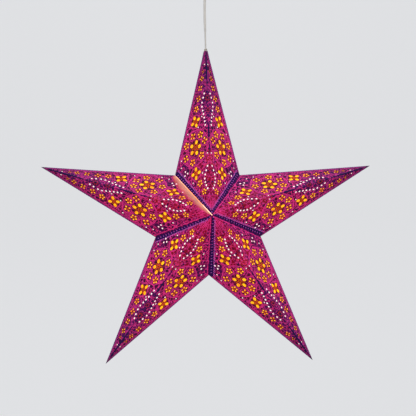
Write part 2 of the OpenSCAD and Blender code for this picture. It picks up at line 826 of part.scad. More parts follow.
grip_screw_r = 1.5;
grip_flange_t = 1.8;
grip_taper = 1.2;
grip_taper_h = 3;
grip_flange = 1.5;
grip_screw_drop = grip_l * 0.55;
nut_h = 4;
stem_top = nut_h + 1.2;

// The grip hangs under the cup, with its threaded stem through the cup's bottom.
module flex_grip() {
  color("white")
    translate([0, 0, -cup_h])
      difference() {
        union() {
          translate([0, 0, -grip_l]) cylinder(r1 = grip_r - grip_taper, r2 = grip_r, h = grip_taper_h);
          translate([0, 0, grip_taper_h - grip_l]) cylinder(r = grip_r, h = grip_l - grip_taper_h);
          translate([0, 0, -grip_flange_t]) cylinder(r = grip_r + grip_flange, h = grip_flange_t);
          cylinder(r = stem_r, h = cup_wall + stem_top);
        }
        translate([0, 0, -grip_l - 1]) cylinder(r = flex_hole_r, h = grip_l + cup_wall + stem_top + 2);
        translate([0, 0, -grip_screw_drop]) rotate([90, 0, 0])
          cylinder(r = grip_screw_r + screw_fit, h = grip_r + 1, $fn = 24);
      }
}

module grip_nut() {
  color("white")
    translate([0, 0, cup_wall - cup_h])
      difference() {
        cylinder(d = grip_nut_w / cos(30), h = nut_h, $fn = 6);
        translate([0, 0, -1]) cylinder(r = stem_r + screw_fit, h = nut_h + 2);
      }
}

module grip_screw() {
  color("white")
    translate([0, -flex_t / 2, -cup_h - grip_screw_drop]) rotate([90, 0, 0])
      cylinder(r = grip_screw_r, h = grip_r - flex_t / 2, $fn = 24);
}

block_l = 20;
block_w = 14;
block_screw_x = 5;
block_screw_r = 1.6;
block_screw_l = 2.4;
block_head = 0.8;
block_head_t = 0.5;
wire_hole_r = 1.8;
wire_hole_y = 2;

// A two-way terminal block under the bracket, with a wire hole and a screw for each core
module terminal_block() {
  color("whitesmoke")
    translate([0, 0, -bracket_t - block_h])
      difference() {
        translate([-block_l / 2, -block_w / 2, 0]) cube([block_l, block_w, block_h]);
        for (s = [-1, 1]) translate([s * block_screw_x, 0, block_h / 2]) {
          translate([0, wire_hole_y, 0]) cylinder(r = wire_hole_r, h = block_h, $fn = 24);
          translate([0, block_head_t - block_w / 2, 0]) rotate([90, 0, 0]) {
            cylinder(r = block_screw_r + block_head + screw_fit, h = 2 * block_head_t, $fn = 24);
            translate([0, 0, -block_screw_l - screw_fit])
              cylinder(r = block_screw_r + screw_fit, h = block_screw_l + block_head_t, $fn = 24);
          }
        }
      }
}

module block_screws() {
  color("silver")
    for (s = [-1, 1])
      translate([s * block_screw_x, block_head_t - block_w / 2, -bracket_t - block_h / 2])
        rotate([90, 0, 0]) {
          translate([0, 0, -block_screw_l])
            cylinder(r = block_screw_r, h = block_screw_l + block_head_t, $fn = 24);
          cylinder(r = block_screw_r + block_head, h = block_head_t, $fn = 24);
        }
}

arm_top();
arm_left();
arm_lower_left();
arm_lower_right();
arm_right();
tissue_top();
tissue_left();
tissue_lower_left();
tissue_lower_right();
tissue_right();
closing_ties();
tip_tie();
flex();
bulb();
holder_body();
holder_cap();
holder_insert();
screw_shell();
centre_contact();
contact_screws();
flex_clamp_screw();
ceiling_cup();
ceiling_bracket();
cup_screws();
flex_grip();
grip_nut();
grip_screw();
terminal_block();
block_screws();
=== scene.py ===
import math

import bpy
import numpy as np
from mathutils import Matrix, Vector
from mathutils.geometry import delaunay_2d_cdt


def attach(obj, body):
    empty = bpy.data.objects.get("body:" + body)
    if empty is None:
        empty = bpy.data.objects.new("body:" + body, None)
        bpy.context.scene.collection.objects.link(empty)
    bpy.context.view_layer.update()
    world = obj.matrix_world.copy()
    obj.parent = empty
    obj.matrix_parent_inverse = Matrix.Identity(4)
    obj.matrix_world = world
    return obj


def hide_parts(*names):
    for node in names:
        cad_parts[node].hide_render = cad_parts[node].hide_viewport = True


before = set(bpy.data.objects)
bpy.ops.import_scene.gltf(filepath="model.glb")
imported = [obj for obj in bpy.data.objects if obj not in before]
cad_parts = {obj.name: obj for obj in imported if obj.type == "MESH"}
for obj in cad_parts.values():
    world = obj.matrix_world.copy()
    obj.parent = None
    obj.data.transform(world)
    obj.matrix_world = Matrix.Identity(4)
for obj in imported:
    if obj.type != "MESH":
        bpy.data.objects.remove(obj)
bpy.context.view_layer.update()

MM = 0.001

# Driving sizes of the star, in millimetres, as the solids have them
STAR_R = 315.0
TOP_REACH = 324.5
TIP_SNIP = 14.0
NOTCH_R = 100.0
HALF_DEPTH = 95.0
CARD_T = 0.35
GLUE_T = 0.03
CENTRE_GAP = 1.0
SEAM_GAP = 0.8
SEAM_CUT = SEAM_GAP * 0.62  # what a wall beside the open seam gives up, measured on the wall
FLAP_NOTCH_W = 8.0
FLAP_APEX_W = 3.0
TAB_W = 8.0
TISSUE_T = 0.24
TISSUE_MARGIN = 1.5
TISSUE_START = 30.0
TIE_R = 4.0
THREAD_HOLE_D = 2.0
TISSUE_CENTRE = 2 * (TISSUE_MARGIN + TIE_R + THREAD_HOLE_D / 2)
TIES_AT = (0.2, 0.5)
TIP_HOLE_DROP = 12.0
TIP_HOLE_SPREAD = 1.2
FLEX_W = 4.5
FLEX_T = 2.7
STAR_CENTRE = np.array([0.0, 0.0, -470.0])

ARMS = ["top", "left", "lower_left", "lower_right", "right"]
STEP = 360 / len(ARMS)
FRONT, BACK = -1, 1
NEXT, LAST = 0, 1


# Camera, fitted to the tips and notches in the photograph

VIEW_DISTANCE = 6 * STAR_R
VIEW_YAW = 4.1
VIEW_PITCH = -5.6
VIEW_ROLL = -0.79
VIEW_RISE = 0.067 * STAR_R
FOCAL_PIXELS = 1046
IMAGE_PIXELS = 416
SENSOR_MM = 36


def turned_view():
    """Turns a direction from the star's frame to the camera's: right, forward, up."""
    yaw = Matrix.Rotation(math.radians(VIEW_YAW), 3, "Z")
    pitch = Matrix.Rotation(math.radians(VIEW_PITCH), 3, "X")
    roll = Matrix.Rotation(math.radians(VIEW_ROLL), 3, "Y")
    return roll @ pitch @ yaw


def make_camera():
    data = bpy.data.cameras.new("camera")
    data.sensor_width = SENSOR_MM
    data.lens = SENSOR_MM * FOCAL_PIXELS / IMAGE_PIXELS
    data.clip_start, data.clip_end = 0.05, 50
    camera = bpy.data.objects.new("camera", data)
    bpy.context.scene.collection.objects.link(camera)
    back_to_star = turned_view().transposed()
    right, forward, up = back_to_star.col
    place = back_to_star @ Vector((0, -VIEW_DISTANCE, VIEW_RISE))
    turn = Matrix((right, up, -forward)).transposed().to_4x4()
    camera.matrix_world = Matrix.Translation((Vector(STAR_CENTRE) + place) * MM) @ turn
    bpy.context.scene.camera = camera


# Walls of the star: each arm has two in front and two behind, mirrored about its ridge


def unit(v):
    return v / np.linalg.norm(v)


def ray(angle):
    a = math.radians(angle)
    return np.array([math.cos(a), 0.0, math.sin(a)])


def arm_angle(arm):
    return 90 + STEP * arm


def reach(arm):
    return TOP_REACH if arm % len(ARMS) == 0 else STAR_R


def tip(arm):
    return STAR_CENTRE + reach(arm) * ray(arm_angle(arm))


def notch(arm):
    return STAR_CENTRE + NOTCH_R * ray(arm_angle(arm) + STEP / 2)


def apex(side):
    return STAR_CENTRE + np.array([0.0, side * HALF_DEPTH, 0.0])


class Wall:
    """One wall of an arm.

    Drawn flat, u runs along the ridge from the tip, and v from the ridge to the notch.
    """

    def __init__(self, arm, hand, side):
        self.arm, self.hand, self.side = arm, hand, side
        self.tip = tip(arm)
        to_apex = apex(side) - self.tip
        to_notch = notch(arm if hand == NEXT else arm - 1) - self.tip
        self.length = np.linalg.norm(to_apex)
        self.u = to_apex / self.length
        self.notch_u = to_notch @ self.u
        self.v = unit(to_notch - self.notch_u * self.u)
        self.width = to_notch @ self.v
        out = unit(np.cross(self.u, self.v))
        self.out = out if out @ (self.tip - STAR_CENTRE) > 0 else -out
        self.flipped = np.cross(self.u, self.v) @ self.out < 0

    def place(self, flat, depth=0.0):
        """Points of the flat drawing on the wall, sunk by a depth under its outer face."""
        flat = np.asarray(flat, float)
        spread = np.outer(flat[:, 0], self.u) + np.outer(flat[:, 1], self.v)
        return self.tip + spread - depth * self.out

    def corners(self):
        return [(0.0, 0.0), (self.length, 0.0), (self.notch_u, self.width)]


def side_line(wall):
    return np.array([0.0, 0.0]), np.array([wall.notch_u, wall.width])


def off_line(flat, a, b):
    """Distance of flat points to the left of the line from a to b."""
    along = unit(np.asarray(b, float) - a)
    rel = np.asarray(flat, float) - a
    return along[0] * rel[..., 1] - along[1] * rel[..., 0]


def clipped(loop, a, b):
    """What a convex loop keeps to the left of the line from a to b."""
    kept = []
    for p, q in zip(loop, loop[1:] + loop[:1]):
        dp, dq = off_line(p, a, b), off_line(q, a, b)
        if dp >= 0:
            kept.append(tuple(p))
        if dp * dq < 0:
            share = dp / (dp - dq)
            kept.append(tuple(np.asarray(p) + share * (np.asarray(q) - p)))
    return kept


def on_seam(wall):
    return (wall.arm, wall.hand) in ((0, NEXT), (1, LAST))


def valley_line(wall, at_notch=0.0, at_apex=0.0):
    """The line along the valley, from the notch to the apex, moved into the wall at its ends."""
    low, high = np.array([wall.notch_u, wall.width]), np.array([wall.length, 0.0])
    along = unit(high - low)
    inside = np.array([along[1], -along[0]])
    if inside @ (np.array([0.0, 0.0]) - low) < 0:
        inside = -inside
    return low + at_notch * inside, high + at_apex * inside


def kept_side(loop, a, b, inner=(1.0, 0.01)):
    """Clips to the side of the line on which the point inner lies."""
    return clipped(loop, a, b) if off_line(np.array(inner), a, b) > 0 else clipped(loop, b, a)


def well_inside(wall):
    """A flat point that every cut across the wall leaves in place."""
    return wall.length * 0.6, 1.0


def across_cut(loop, wall, distance):
    """Cuts off what reaches further than a distance along the arm, as a snip or a start does."""
    axis = ray(arm_angle(wall.arm))
    du, dv = wall.u @ axis, wall.v @ axis
    a = np.array([(distance - (wall.tip - STAR_CENTRE) @ axis) / du, 0.0])
    b = a + np.array([-dv, du])
    return kept_side(loop, a, b, well_inside(wall))


def centre_cut(loop, wall, distance):
    """Opens the middle of the star, where the arms meet."""
    a = np.array([wall.length - distance, 0.0])
    low, high = valley_line(wall)
    b = high + (low - high) * distance / np.linalg.norm(high - low)
    return kept_side(loop, a, b, well_inside(wall))


def wall_loop(wall):
    loop = wall.corners()
    if on_seam(wall):
        loop = kept_side(loop, *valley_line(wall, SEAM_CUT, SEAM_CUT))
    if wall.arm == 0:
        loop = across_cut(loop, wall, TOP_REACH - TIP_SNIP)
    return centre_cut(loop, wall, CENTRE_GAP)


def over_flap(wall):
    """Whether a glue flap lies under the wall, along its valley."""
    return wall.arm != 1 if wall.hand == LAST else wall.arm == 0


def tissue_loop(wall):
    tied = TIE_R + THREAD_HOLE_D / 2 if on_seam(wall) else 0.0
    notch_w = TISSUE_MARGIN + max(tied, FLAP_NOTCH_W if over_flap(wall) else 0.0)
    apex_w = TISSUE_MARGIN + max(tied, FLAP_APEX_W if over_flap(wall) else 0.0)
    loop = kept_side(wall.corners(), *valley_line(wall, notch_w, apex_w))
    loop = across_cut(loop, wall, reach(wall.arm) - TISSUE_START)
    loop = centre_cut(loop, wall, TISSUE_CENTRE)
    if tab_side(wall):
        tab_v = TAB_W + TISSUE_MARGIN
        loop = clipped(loop, np.array([0.0, tab_v]), np.array([1.0, tab_v]))
    return loop


def tab_side(wall):
    return wall.hand == LAST and wall.side == BACK


def threaded(wall):
    """Whether the wall has holes for a thread: at the closing seam behind, or at the snipped tip."""
    return wall.side == BACK and (wall.arm == 0 or on_seam(wall))


def thread_holes(wall):
    """The holes of the closing ties, beside the valley, and of the tip's thread."""
    shapes = []
    if wall.side == BACK and on_seam(wall):
        low, high = valley_line(wall)
        inner_low, _ = valley_line(wall, TIE_R, TIE_R)
        for share in TIES_AT:
            at = inner_low + share * (high - low)
            shapes.append((oval(at, THREAD_HOLE_D, THREAD_HOLE_D), None))
    if wall.side == BACK and wall.arm == 0:
        u = TIP_SNIP / math.cos(math.atan(HALF_DEPTH / TOP_REACH)) + TIP_HOLE_DROP
        v = TIP_HOLE_SPREAD * u * wall.width / wall.length
        shapes.append((oval((u, v), THREAD_HOLE_D, THREAD_HOLE_D), None))
    return shapes


def mitres(wall, flat):
    """How each flat point moves outward for each millimetre: straight, or along a fold's mitre."""
    flat = np.asarray(flat, float)
    near = 0.01
    on_ridge = np.abs(flat[:, 1]) < near
    on_side = np.abs(off_line(flat, *side_line(wall))) < near
    moves = np.tile(wall.out, (len(flat), 1))
    for mask, other in (
        (on_ridge, Wall(wall.arm, 1 - wall.hand, wall.side)),
        (on_side, Wall(wall.arm, wall.hand, -wall.side)),
    ):
        moves[mask] = (wall.out + other.out) / (1 + wall.out @ other.out)
    axis = ray(arm_angle(wall.arm))
    moves[on_ridge & on_side] = axis / (axis @ wall.out)
    return moves


# Flat shapes for the print, in millimetres


def ring_of(centre, r, count, first=0.0):
    """Points evenly round a centre, with the angle of each."""
    for i in range(count):
        a = math.radians(first + 360 * i / count)
        yield (centre[0] + r * math.cos(a), centre[1] + r * math.sin(a)), math.degrees(a)


def oval(centre, long, wide, turn=0.0, sides=12):
    c, s = math.cos(math.radians(turn)), math.sin(math.radians(turn))
    points = []
    for i in range(sides):
        a = 2 * math.pi * i / sides
        x, y = long / 2 * math.cos(a), wide / 2 * math.sin(a)
        points.append((centre[0] + x * c - y * s, centre[1] + x * s + y * c))
    return points


def disc(centre, r, sides=12):
    return oval(centre, 2 * r, 2 * r, 0.0, sides)


def leaf(base, length, wide, turn, sides=6):
    """A pointed leaf from its base, fullest a third of the way along."""
    c, s = math.cos(math.radians(turn)), math.sin(math.radians(turn))
    edge = []
    for i in range(sides + 1):
        t = i / sides
        edge.append((length * t, wide / 2 * math.sin(math.pi * t ** 0.8)))
    points = edge + [(x, -y) for x, y in edge[-2:0:-1]]
    return [(base[0] + x * c - y * s, base[1] + x * s + y * c) for x, y in points]


def stroke(path, width, taper=0.55):
    """A drawn line along a path, thinner at its ends."""
    path = np.asarray(path, float)
    heading = np.gradient(path, axis=0)
    heading /= np.linalg.norm(heading, axis=1)[:, None]
    beside = np.stack([-heading[:, 1], heading[:, 0]], 1)
    t = np.linspace(0, 1, len(path))
    half = width / 2 * (1 - taper + taper * np.sin(math.pi * t))[:, None]
    around = np.concatenate([path + beside * half, (path - beside * half)[::-1]])
    return [tuple(p) for p in around]


def arc(centre, r, start, sweep, count):
    """A path round a centre."""
    angles = [math.radians(start + sweep * i / (count - 1)) for i in range(count)]
    return [(centre[0] + r * math.cos(a), centre[1] + r * math.sin(a)) for a in angles]


def curl(centre, r, start, hand, turns=1.1, count=9):
    """A path that winds in towards its centre."""
    path = []
    for i in range(count):
        t = i / (count - 1)
        a = math.radians(start + hand * 360 * turns * t)
        shrunk = r * (1 - 0.8 * t)
        path.append((centre[0] + shrunk * math.cos(a), centre[1] + shrunk * math.sin(a)))
    return path


# The printed and punched pattern of one wall, at its true size on a plain arm.
# Each shape is (loop, paint), and a later shape covers an earlier one. A hole has no paint.
# A four-petal flower is given by its centre, ring and first petal's angle, and a small flower by
# its centre, the circle of its holes and their count.

PLAIN = Wall(1, NEXT, FRONT)
ROUNDEL = (193.5, 36.5)
ROUNDEL_R = 34.5
BIG_FLOWER = (193.5, 35.5)
BIG_FLOWER_R = 10.6
PETAL_L, PETAL_W = 7.8, 6.4
FOUR_PETALS = [((143.5, 33), 13.5, -105), ((242, 35.5), 13.0, -90)]
SMALL_PETAL_R = 8.0
SMALL_PETAL_L, SMALL_PETAL_W = 7.6, 5.8
SATELLITES = [
    (187, 11.5), (212, 20.5), (172.5, 21.5), (169.5, 40.5), (218.5, 43), (182, 57.5), (206, 60),
]
SATELLITE_R = 4.8
SATELLITE_HOLE = 3.5
SATELLITE_RING_R = SATELLITE_R * 2.0
TIP_FLOWERS = [
    ((120, 29.5), 4.3, 5), ((102, 23), 4.1, 4), ((83, 18), 3.9, 4), ((65.5, 13), 3.4, 4),
    ((53, 9.5), 2.2, 3),
]
CENTRE_FLOWERS = [((263, 26.5), 4.6, 5), ((281.5, 16.5), 4.1, 5)]
CLUSTER = (234, 61)
CLUSTER_R = 4.3
LONE_DOTS = [
    (40, 5), (139, 16.5), (156.5, 26.5), (160.5, 53.5), (246, 19.5), (213, 5.5), (257.5, 43.5),
]
CORNER_DOTS = [(219.5, 72.5), (206, 72)]
TIP_DOTS = [
    (97, 8.4), (104, 11.4), (112.5, 14.6), (120.5, 15.2), (128.5, 13.6), (136, 12), (143.5, 10.4),
    (151, 9.2), (158.5, 8.4),
]
CENTRE_DOTS = [
    (237, 6.4), (244, 10), (251, 12.9), (258, 14.2), (265, 13.3), (271.5, 11), (278, 7.8),
]
DOT = 3.8
SMALL_DOT = 2.8
# Along the ridge: start, end and width of a streak, and place and size of a flower
RIDGE_STREAKS = [(8, 97, 2.4), (156, 191, 2.4), (192, 222, 1.2)]
RIDGE_FLOWERS = [(108, 8.0), (132, 6.2)]
OUTLINE = 0.8
RIM = 0.4
LINE = 1.1
THIN_LINE = 0.75
CURL_GAP = 7.5
CURL_ROW = 0.84
CURL_R = 3.5
GOLDEN_ANGLE = 137.5

# Soft fields of colour under the ornament: centre, length, width, turn and paint
FIELDS = [
    ((262, 16), 92, 34, -20, "crimson"),
    ((142, 30), 74, 26, 14, "wine"),
    ((100, 14), 92, 22, 12, "violet"),
    ((300, 8), 50, 18, -16, "crimson"),
    ((232, 5), 50, 15, 6, "russet"),
    ((228, 70), 54, 28, 26, "aubergine"),
]


def hole(centre, long, wide, turn, sides, outline=OUTLINE, rim=RIM, rim_paint="flame"):
    """A punched hole with a bright rim and the dark line printed round it."""

    def widened(edge):
        return oval(centre, long + 2 * edge, wide + 2 * edge, turn, sides)

    shapes = [(widened(outline + rim), "maroon")]
    if rim:
        shapes.append((widened(rim), rim_paint))
    return shapes + [(widened(0), None)]


def dot_hole(centre, size):
    return hole(centre, size, size, 0.0, 9, outline=0.7, rim=0.0)


def bead(at, r, hollow, sides=(7, 6)):
    return [(disc(at, r, sides[0]), "rose"), (disc(at, hollow, sides[1]), "night")]


def ring(centre, r, width, paint, inside, sides=28):
    return [(disc(centre, r, sides), paint), (disc(centre, r - width, sides), inside)]


def punched_flower(centre, r, count, size, first=0.0):
    shapes = []
    for at, angle in ring_of(centre, r, count, first):
        shapes += hole(at, size * 1.1, size, angle, 8, outline=0.5, rim=0.3, rim_paint="ember")
    return shapes


def small_flower(centre, r, count, size, first):
    """A little punched flower in its printed ring of scallops."""
    turn = first + 20
    shapes = [(disc(at, r * 0.44, 6), "rose") for at, _ in ring_of(centre, r * 1.5, 8, turn)]
    shapes += [(disc(at, r * 0.24, 5), "night") for at, _ in ring_of(centre, r * 1.62, 8, turn)]
    shapes += [(disc(centre, r * 1.5, 14), "wine")]
    shapes += [(disc(centre, r * 0.5, 8), "ember"), (disc(centre, r * 0.2, 6), "maroon")]
    return shapes + punched_flower(centre, r, count, size, first)


def petal_flower(centre, r, count, long, wide, first):
    shapes = []
    for at, angle in ring_of(centre, r, count, first):
        shapes += hole(at, long, wide, angle, 14)
    return shapes


def sepals(centre, r, count, first, outer, inner):
    """Dark leaves with a bright one on each, between the petals of a flower."""
    shapes = []
    for at, angle in ring_of(centre, r, count, first):
        shapes += [(leaf(at, *outer, angle), "maroon"), (leaf(at, *inner, angle), "ember")]
    return shapes


def roundel():
    """The large flower with seven small ones round it, in a ring of beads and curls."""
    shapes = ring(ROUNDEL, ROUNDEL_R, LINE * 1.2, "rose", "night", 48)
    shapes += ring(ROUNDEL, ROUNDEL_R - 2.0, THIN_LINE, "rose", "wine", 48)
    for at, _ in ring_of(ROUNDEL, ROUNDEL_R - 4.6, 26):
        shapes += bead(at, 1.3, 0.6, (6, 4))
    for i, (at, angle) in enumerate(ring_of(BIG_FLOWER, BIG_FLOWER_R * 1.95, 20, -72)):
        shapes.append((leaf(at, 8.5, 3.0, angle + 25), "crimson" if i % 2 else "night"))
        shapes.append((leaf(at, 6.5, 1.1, angle + 25), "rose"))
    for centre in SATELLITES:
        shapes += ring(centre, SATELLITE_RING_R, LINE, "rose", "night", 16)
    for at, _ in ring_of(BIG_FLOWER, BIG_FLOWER_R * 1.58, 15, -78):
        shapes += bead(at, 2.2, 1.3)
    shapes.append((disc(BIG_FLOWER, BIG_FLOWER_R * 1.56, 30), "wine"))
    shapes += sepals(BIG_FLOWER, 2.4, 5, -54, (11.0, 5.0), (9.0, 2.8))
    shapes += [(disc(BIG_FLOWER, 3.6, 12), "ember"), (disc(BIG_FLOWER, 1.4, 8), "maroon")]
    for i, centre in enumerate(SATELLITES):
        shapes += small_flower(centre, SATELLITE_R, 5 if i % 3 else 4, SATELLITE_HOLE, 20 * i)
    return shapes + petal_flower(BIG_FLOWER, BIG_FLOWER_R, 5, PETAL_L, PETAL_W, -90)


def four_petal_motif(centre, r, first):
    shapes = ring(centre, r, LINE, "rose", "night", 28)
    shapes += ring(centre, r - 1.7, THIN_LINE, "rose", "wine", 28)
    shapes += sepals(centre, 1.6, 4, first + 45, (9.0, 4.4), (7.0, 2.2))
    shapes += [(disc(centre, 2.8, 10), "ember"), (disc(centre, 1.0, 6), "maroon")]
    return shapes + petal_flower(centre, SMALL_PETAL_R, 4, SMALL_PETAL_L, SMALL_PETAL_W, first)


def dotted_lens(dots, ground, leaves):
    """A field along the ridge inside a line of white dots, with small leaves that fan out to them."""
    (u0, _), (u1, _) = dots[0], dots[-1]
    shapes = [([(u0 - 10, -1), *dots, (u1 + 8, -1)], ground)]
    for i, (u, v) in enumerate(dots):
        for j, share in enumerate((0.25, 0.7)):
            paint = leaves[(i + j) % len(leaves)]
            shapes.append((leaf((u - 4, v * share - 1), 7.5, 2.6, 30 + 35 * (i % 3)), paint))
            shapes.append((leaf((u + 3, v * share), 5.0, 1.5, 120 - 30 * (i % 2)), "rose"))
    for (u, v), (u2, v2) in zip(dots, dots[1:]):
        angle = math.degrees(math.atan2(v2 - v, u2 - u))
        shapes.append((leaf((u, v + 1.5), 6.5, 2.2, angle + 40), "night"))
        shapes.append((leaf((u + 2, v + 2.5), 6.0, 1.3, angle + 15), "rose"))
    for at in dots:
        shapes += dot_hole(at, DOT)
    return shapes


def ridge_flower(u, r):
    """Half of a soft brown flower that the fold cuts through its middle."""
    shapes = [(disc((u, 0), r * 1.05, 20), "night")]
    for at, angle in ring_of((u, 0), r * 0.3, 8, 22.5):
        shapes.append((leaf(at, r * 0.66, r * 0.36, angle), "russet"))
    return shapes + [(disc((u, 0), r * 0.22, 8), "maroon")]


def keep_out():
    """Discs that the curls of the ground stay out of."""
    discs = [(ROUNDEL, ROUNDEL_R + 3.5)]
    discs += [(centre, r + 3.4) for centre, r, _ in FOUR_PETALS]
    discs += [(centre, r * 1.9 + 3.2) for centre, r, _ in TIP_FLOWERS + CENTRE_FLOWERS]
    discs += [(CLUSTER, CLUSTER_R + 4.5)]
    return discs


def curls():
    """Scrollwork over the ground: curls with a leaf and a bead, turned by the golden angle."""
    shapes = []
    discs = keep_out()
    drawn = 0
    for row in range(int(PLAIN.width / (CURL_GAP * CURL_ROW))):
        v = 4.0 + row * CURL_GAP * CURL_ROW
        for column in range(int(PLAIN.length / CURL_GAP)):
            at = np.array([20.0 + (column + row % 2 / 2) * CURL_GAP, v])
            side_gap = -off_line(at, *side_line(PLAIN))
            valley_gap = off_line(at, *reversed(valley_line(PLAIN)))
            clear = all(math.dist(at, c) > r for c, r in discs)
            if not clear or side_gap < 6 or valley_gap < 4:
                continue
            turn = GOLDEN_ANGLE * drawn
            hand = 1 if row % 2 else -1
            toward = np.array([math.cos(math.radians(turn)), math.sin(math.radians(turn))])
            leaf_at = at + CURL_R * 0.9 * toward
            shapes.append((disc(at - CURL_R * toward, 1.6, 6), "night"))
            shapes.append((stroke(curl(at, CURL_R, turn, hand), LINE), "rose"))
            shapes.append((leaf(leaf_at, 4.2, 2.2, turn + 70 * hand, 4), "crimson"))
            shapes.append((leaf(leaf_at, 3.4, 1.6, turn - 80 * hand, 4), "night"))
            shapes.append((disc(at, 0.8, 5), "lilac" if drawn % 2 else "russet"))
            drawn += 1
    return shapes


def along_line(a, b, spacing, margin):
    """Places with an even spacing along a line, with the line's angle."""
    a, b = np.asarray(a, float), np.asarray(b, float)
    length = np.linalg.norm(b - a)
    count = int((length - 2 * margin) / spacing)
    angle = math.degrees(math.atan2(*(b - a)[::-1]))
    for i in range(count + 1):
        yield a + (b - a) * (margin + i * (length - 2 * margin) / count) / length, angle


def band(a, b, depth):
    """A band beside the line from a to b, on the tip's side of it."""
    a, b = np.asarray(a, float), np.asarray(b, float)
    along = unit(b - a)
    inside = np.array([along[1], -along[0]])
    return [tuple(a), tuple(b), tuple(b + inside * depth), tuple(a + inside * depth)]


def shifted(a, b, depth):
    loop = band(a, b, depth)
    return np.array(loop[3]), np.array(loop[2])


# Borders along the folds, with painted shade in the valley band where a glue flap lies under it, and
# the painted light that spills from the open seam: width, waves and paint of each step
VALLEY_BAND = 9.0
VALLEY_BAND_APEX = 4.6
SIDE_BAND = 4.6
SEAM_SPILL_STEPS = [(16.5, 21.0, "coral"), (13.0, 15.0, "salmon"), (9.5, 9.0, "peach"), (6.0, 13.0, "cream")]


def side_border(wall):
    a, b = side_line(wall)
    shapes = [(band(a, b, SIDE_BAND), "aubergine")]
    for at, _ in along_line(*shifted(a, b, SIDE_BAND), 5.4, 34):
        shapes += bead(at, 2.0, 1.2)
    shapes.append((band(a, b, SIDE_BAND - 1.2), "aubergine"))
    shapes.append((stroke(shifted(a, b, SIDE_BAND - 1.3), THIN_LINE, 0), "rose"))
    for at, angle in along_line(*shifted(a, b, 1.6), 4.2, 12):
        shapes.append((leaf(at, 3.0, 1.2, angle + 30, 4), "lilac"))
    return shapes


def valley_lace_and_flap_shade(wall):
    """Lace along the valley, over painted shade where a flap lies under it and holds back the bulb's
    light; otherwise only its lines.
    """
    a, b = valley_line(wall)
    top_a, top_b = shifted(a, b, VALLEY_BAND)[0], shifted(a, b, VALLEY_BAND_APEX)[1]

    def within(share):
        return a + share * (top_a - a), b + share * (top_b - b)

    if not over_flap(wall):
        shapes = [(stroke(within(0.4), LINE, 0), "rose")]
        for at, angle in along_line(*within(0.2), 4.2, 4):
            shapes.append((leaf(at, 3.6, 1.4, angle + 40, 4), "night"))
        return shapes
    # Painted shade: the dark band where the glue flap under the card holds back the bulb's light, with
    # lace drawn over it
    shapes = [([tuple(a), tuple(b), tuple(top_b), tuple(top_a)], "night")]
    for at, angle in along_line(*within(0.3), 6.4, 6):
        shapes += [(leaf(at, 4.6, 1.5, angle - 50, 4), "lilac"), (disc(at, 1.2, 8), "aubergine")]
    for at, angle in along_line(top_a, top_b, 4.6, 4):
        shapes.append((leaf(at, 5.0, 1.8, angle - 140, 4), "lilac"))
        shapes.append((leaf(at, 4.2, 1.9, angle + 50, 4), "night"))
    return shapes


def seam_spill_light(wall):
    """Painted light: where no flap covers the seam, the bulb's light that spills through it onto the
    card is painted in pale steps, widest near the middle of the valley.
    """
    low, high = valley_line(wall)
    along = unit(high - low)
    inside = valley_line(wall, 1.0)[0] - low
    length = np.linalg.norm(high - low)
    shapes = []
    for wide, waves, paint in SEAM_SPILL_STEPS:
        edge = []
        for i in range(41):
            t = i / 40
            swell = 0.18 + 0.82 * math.sin(math.pi * t ** 0.8) ** 0.7 if t < 1 else 0.0
            ripple = 1 + 0.1 * math.sin(waves * math.pi * t)
            ripple += 0.07 * math.sin(2.7 * waves * math.pi * t + 1)
            edge.append(tuple(low + along * length * t + inside * wide * swell * ripple))
        shapes.append((edge + [tuple(high), tuple(low)], paint))
    return shapes


def pattern(wall):
    """Every printed field of a wall from the bottom layer up, with the painted shade over the flaps and
    the painted light beside the open seam, and then every punched hole.
    """
    shapes = [(oval(*place, 28), paint) for *place, paint in FIELDS] + curls()
    shapes += dotted_lens(TIP_DOTS, "violet", ("night", "wine", "night"))
    shapes += dotted_lens(CENTRE_DOTS, "crimson", ("wine", "russet", "night"))
    for u, r in RIDGE_FLOWERS:
        shapes += ridge_flower(u, r)
    for start, end, wide in RIDGE_STREAKS:
        shapes.append((leaf((start, 0), end - start, 2 * wide, 0, 8), "night"))
    for turn in (-24, -12, 0):
        shapes.append((leaf((326, 2), 40, 5, 180 + turn), "crimson"))
        shapes.append((leaf((324, 2), 30, 1.6, 180 + turn), "rose"))
    shapes += roundel()
    for centre, r, first in FOUR_PETALS:
        shapes += four_petal_motif(centre, r, first)
    for i, (centre, r, count) in enumerate(TIP_FLOWERS + CENTRE_FLOWERS):
        shapes += small_flower(centre, r, count, SATELLITE_HOLE * r / SATELLITE_R, 30 * i)
    for at, _ in ring_of(CLUSTER, CLUSTER_R, 3, -80):
        shapes += dot_hole(at, DOT * 0.9)
    for at in LONE_DOTS:
        shapes += dot_hole(at, SMALL_DOT)
    shapes = stretched(shapes, wall) + side_border(wall) + valley_lace_and_flap_shade(wall)
    # Painted light: the bulb's light spilling through the open seam onto this wall
    if on_seam(wall) and not over_flap(wall):
        shapes += seam_spill_light(wall)
    for at in CORNER_DOTS:
        shapes += stretched(dot_hole(at, SMALL_DOT), wall)
    return sorted(shapes + thread_holes(wall), key=lambda shape: shape[1] is None)


def stretched(shapes, wall):
    """The pattern keeps its shares of a wall's length and width."""
    su, sv = wall.length / PLAIN.length, wall.width / PLAIN.width
    return [([(u * su, v * sv) for u, v in loop], paint) for loop, paint in shapes]


# From flat shapes to folded sheets

MERGE = 0.002
INSIDE = 1  # asks the triangulation for what lies inside its loops


def loop_area(loop):
    """Twice the area of a loop, positive where it runs counter-clockwise."""
    points = np.asarray(loop, float)
    x, y = points[:, 0], points[:, 1]
    return np.sum(x * np.roll(y, -1) - np.roll(x, -1) * y)


def counter_clockwise(loop):
    points = [tuple(p) for p in loop]
    return points if loop_area(points) > 0 else points[::-1]


